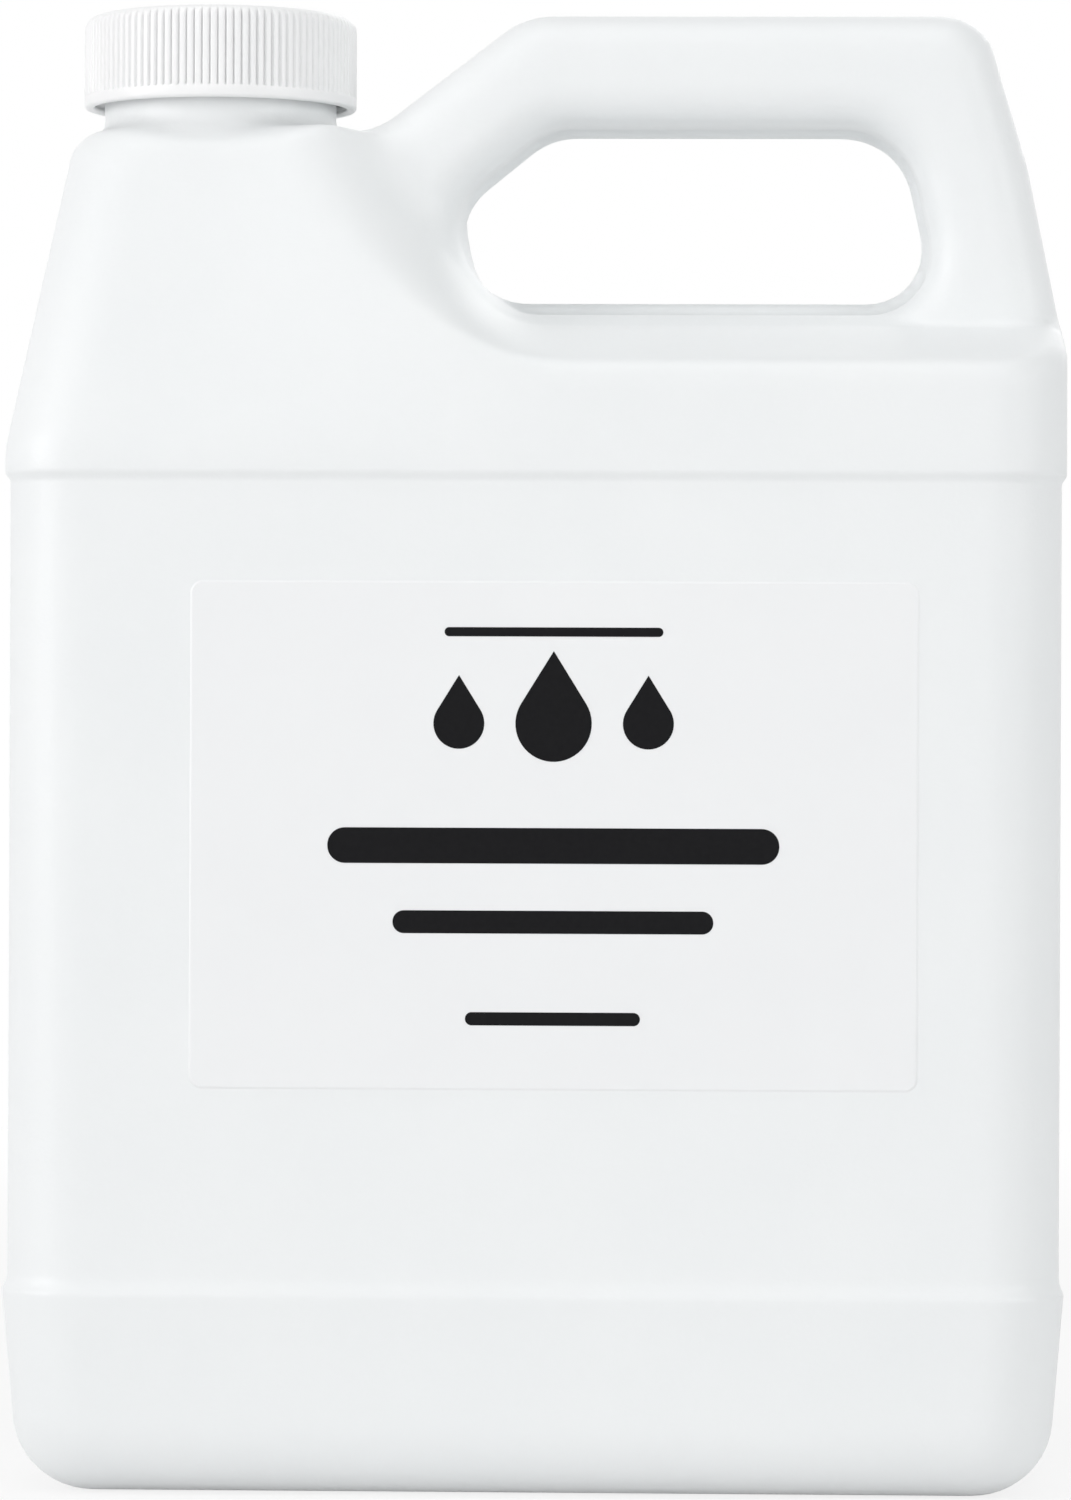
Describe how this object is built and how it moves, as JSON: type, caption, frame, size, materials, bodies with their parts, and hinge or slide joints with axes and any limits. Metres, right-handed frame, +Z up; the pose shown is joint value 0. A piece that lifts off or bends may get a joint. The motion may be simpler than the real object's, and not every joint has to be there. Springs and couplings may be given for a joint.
{
  "type": "laundry detergent bottle",
  "caption": "Upright oblong bottle with a built-in hollow handle, a ribbed screw cap on an offset neck and a recessed label panel, for holding and pouring a liquid.",
  "frame": {"origin": "middle of the foot on the surface the bottle stands on", "axes": "+Z up, front label towards -Y, handle end towards +X, neck end towards -X"},
  "size_m": [0.133, 0.06, 0.187],
  "materials": {
    "bottle": "satin blow-moulded polyethylene",
    "cap": "satin moulded polypropylene",
    "liner": "matt foamed polyethylene",
    "label": "satin film"
  },
  "bodies": {
    "bottle_body": {"bottle": "bottle", "label": "label"},
    "liner_body": {"cap_liner": "liner"},
    "cap_body": {"cap": "cap"}
  },
  "joints": [
    {"name": "cap_lift", "type": "slide", "parent": "bottle_body", "child": "liner_body", "axis": [0, 0, 1], "range_m": [0, 0.01694]},
    {"name": "cap_turn", "type": "hinge", "parent": "liner_body", "child": "cap_body", "pos_m": [-0.0413, 0, 0.181], "axis": [0, 0, 1], "range_deg": [0, 1440]}
  ],
  "couplings": [
    {"joint": "cap_lift", "follows": "cap_turn", "m_per_rad": 0.0006737}
  ]
}
